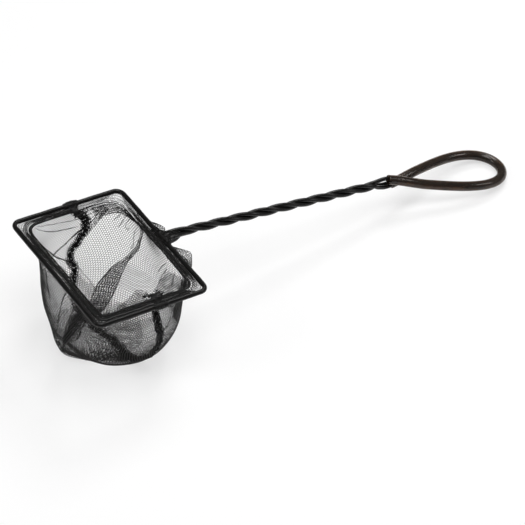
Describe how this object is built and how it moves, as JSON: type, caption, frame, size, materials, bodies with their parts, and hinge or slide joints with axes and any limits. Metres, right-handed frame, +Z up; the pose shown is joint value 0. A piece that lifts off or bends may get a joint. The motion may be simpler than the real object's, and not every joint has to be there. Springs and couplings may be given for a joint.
{
  "type": "aquarium fish net",
  "caption": "Small wire fish net with a sewn black mesh bag, a twisted coated wire handle and a sleeved teardrop grip loop.",
  "frame": {"origin": "point on the floor under the middle of the mouth, on the bag's flat foot", "axes": "+X along the handle from the bag to the grip loop, +Y across the mouth to the left, +Z up from the floor that the bag and the loop rest on"},
  "size_m": [0.3118, 0.1016, 0.071],
  "materials": {
    "steel": "drawn wire",
    "wire_coating": "satin vinyl",
    "grip_vinyl": "translucent smoke-brown vinyl",
    "mesh": "fine knitted mesh",
    "hem_cloth": "rolled mesh, several layers",
    "thread": "sewing thread"
  },
  "bodies": {
    "root": {"frame_core": "steel", "frame_coating": "wire_coating", "left_end_core": "steel", "left_end_coating": "wire_coating", "right_run_core": "steel", "right_run_coating": "wire_coating", "grip_sleeve": "grip_vinyl", "hem_casing": "hem_cloth", "hem_band": "hem_cloth", "hem_thread": "thread", "bar_tacks": "thread", "far_panel": "mesh", "handle_panel": "mesh", "seam_band": "thread", "seam_thread": "thread"}
  },
  "joints": []
}
